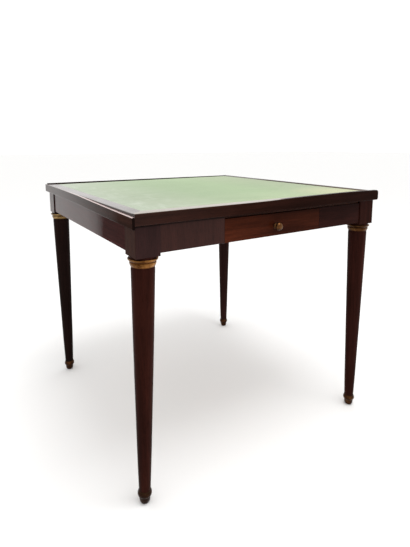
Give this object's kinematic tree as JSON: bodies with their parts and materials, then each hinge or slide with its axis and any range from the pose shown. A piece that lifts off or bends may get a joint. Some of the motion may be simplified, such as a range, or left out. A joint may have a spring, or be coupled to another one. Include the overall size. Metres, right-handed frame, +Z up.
{
  "type": "games table",
  "caption": "Square card table with a baize top in a wooden border, a frieze with a small sliding drawer, and turned tapered legs with brass collars and foot cups.",
  "frame": {"origin": "centre of the outside box on the floor plane (the drawer knob is part of the box, so the table's own centre is 4.5 mm behind it)", "axes": "+Z up, -Y toward the side with the drawer, +X to the right of somebody facing the drawer"},
  "size_m": [0.85, 0.859, 0.7551],
  "materials": {
    "mahogany_legs": "dark red-brown mahogany, hand-polished varnish",
    "mahogany_frame": "dark mahogany veneer, glossy varnish",
    "mahogany_drawer": "slightly redder mahogany veneer, glossy varnish",
    "mahogany_edge": "dark mahogany, rounded and varnished",
    "border_veneer": "mahogany border veneer, glossy varnish",
    "core_board": "veneered blockboard, bare underneath",
    "carcass_beech": "bare beech, sawn and planed",
    "drawer_oak": "bare pale oak",
    "drawer_plywood": "bare thin plywood",
    "gilt_brass": "worn gilt brass",
    "knob_brass": "darkened brass",
    "patinated_bronze": "dark patinated bronze",
    "screw_steel": "plain steel",
    "green_baize": "pale green woollen baize"
  },
  "bodies": {
    "table": {"apron_back": "mahogany_frame", "apron_left": "mahogany_frame", "apron_right": "mahogany_frame", "baize": "green_baize", "border_back": "border_veneer", "border_front": "border_veneer", "border_left": "border_veneer", "border_right": "border_veneer", "collar_back_left": "gilt_brass", "collar_back_right": "gilt_brass", "collar_front_left": "gilt_brass", "collar_front_right": "gilt_brass", "corner_block_back_left": "carcass_beech", "corner_block_back_right": "carcass_beech", "corner_block_front_left": "carcass_beech", "corner_block_front_right": "carcass_beech", "corner_block_screws": "screw_steel", "drawer_guide_left": "carcass_beech", "drawer_guide_right": "carcass_beech", "drawer_kicker_left": "carcass_beech", "drawer_kicker_right": "carcass_beech", "drawer_runner_left": "carcass_beech", "drawer_runner_right": "carcass_beech", "drawer_stops": "carcass_beech", "foot_cup_back_left": "patinated_bronze", "foot_cup_back_right": "patinated_bronze", "foot_cup_front_left": "patinated_bronze", "foot_cup_front_right": "patinated_bronze", "foot_screws": "screw_steel", "front_panel_left": "mahogany_frame", "front_panel_right": "mahogany_frame", "front_rail_lower": "carcass_beech", "front_rail_upper": "carcass_beech", "leg_back_left": "mahogany_legs", "leg_back_right": "mahogany_legs", "leg_front_left": "mahogany_legs", "leg_front_right": "mahogany_legs", "top_buttons": "carcass_beech", "top_edge_back": "mahogany_edge", "top_edge_front": "mahogany_edge", "top_edge_left": "mahogany_edge", "top_edge_right": "mahogany_edge", "top_panel": "core_board", "top_screws": "screw_steel"},
    "drawer": {"drawer_back": "drawer_oak", "drawer_bottom": "drawer_plywood", "drawer_front": "mahogany_drawer", "drawer_knob": "knob_brass", "drawer_side_left": "drawer_oak", "drawer_side_right": "drawer_oak", "knob_backplate": "knob_brass", "knob_screw": "screw_steel"}
  },
  "joints": [
    {"name": "drawer_slide", "type": "slide", "parent": "table", "child": "drawer", "axis": [0, -1, 0], "range_m": [0, 0.24]}
  ]
}
